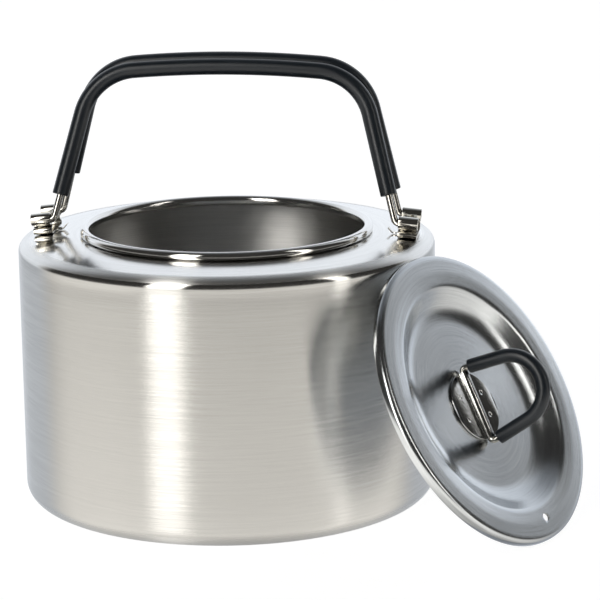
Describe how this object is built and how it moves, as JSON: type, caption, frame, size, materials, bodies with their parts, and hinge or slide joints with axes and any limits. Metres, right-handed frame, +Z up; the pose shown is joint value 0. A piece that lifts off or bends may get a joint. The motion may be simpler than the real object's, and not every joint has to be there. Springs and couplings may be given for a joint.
{
  "type": "camping kettle",
  "caption": "Drum-shaped steel camping kettle with two folding wire bails in hose grips and a skirted lid, with folding ring handle, leaning on its side.",
  "frame": {"origin": "middle of the pot's flat bottom, on the surface that it stands on", "axes": "+Z up along the pot's axis, +X along the bails' hinge lines toward the side where the lid lies, -Y the front"},
  "size_m": [0.2448, 0.2008, 0.1911],
  "materials": {
    "pot_steel": "satin, spun round, with a polished shoulder",
    "lid_steel": "satin, spun round",
    "bracket_steel": "polished",
    "wire_steel": "polished",
    "hose": "matt black with a soft sheen"
  },
  "bodies": {
    "pot": {"kettle_body": "pot_steel", "left_hinge_bracket": "bracket_steel", "right_hinge_bracket": "bracket_steel"},
    "front_bail": {"front_bail_wire": "wire_steel", "front_bail_grip": "hose"},
    "rear_bail": {"rear_bail_wire": "wire_steel", "rear_bail_grip": "hose"},
    "lid": {"lid_shell": "lid_steel", "lid_handle_plate": "lid_steel"},
    "lid_handle": {"lid_handle_wire": "wire_steel", "lid_handle_grip": "hose"}
  },
  "joints": [
    {"name": "front_bail_fold", "type": "hinge", "parent": "pot", "child": "front_bail", "pos_m": [0, -0.01004, 0.12135], "axis": [1, 0, 0], "range_deg": [0, 107]},
    {"name": "rear_bail_fold", "type": "hinge", "parent": "pot", "child": "rear_bail", "pos_m": [0, 0.01004, 0.12135], "axis": [1, 0, 0], "range_deg": [-89, 0]},
    {"name": "lid_lift", "type": "slide", "parent": "pot", "child": "lid", "axis": [0, 0, 1], "range_m": [0, 0.15]},
    {"name": "lid_handle_fold", "type": "hinge", "parent": "lid", "child": "lid_handle", "pos_m": [0.111, -0.05095, 0.05319], "axis": [-0.4058, 0.3167, 0.8573], "range_deg": [-62, 37]}
  ]
}
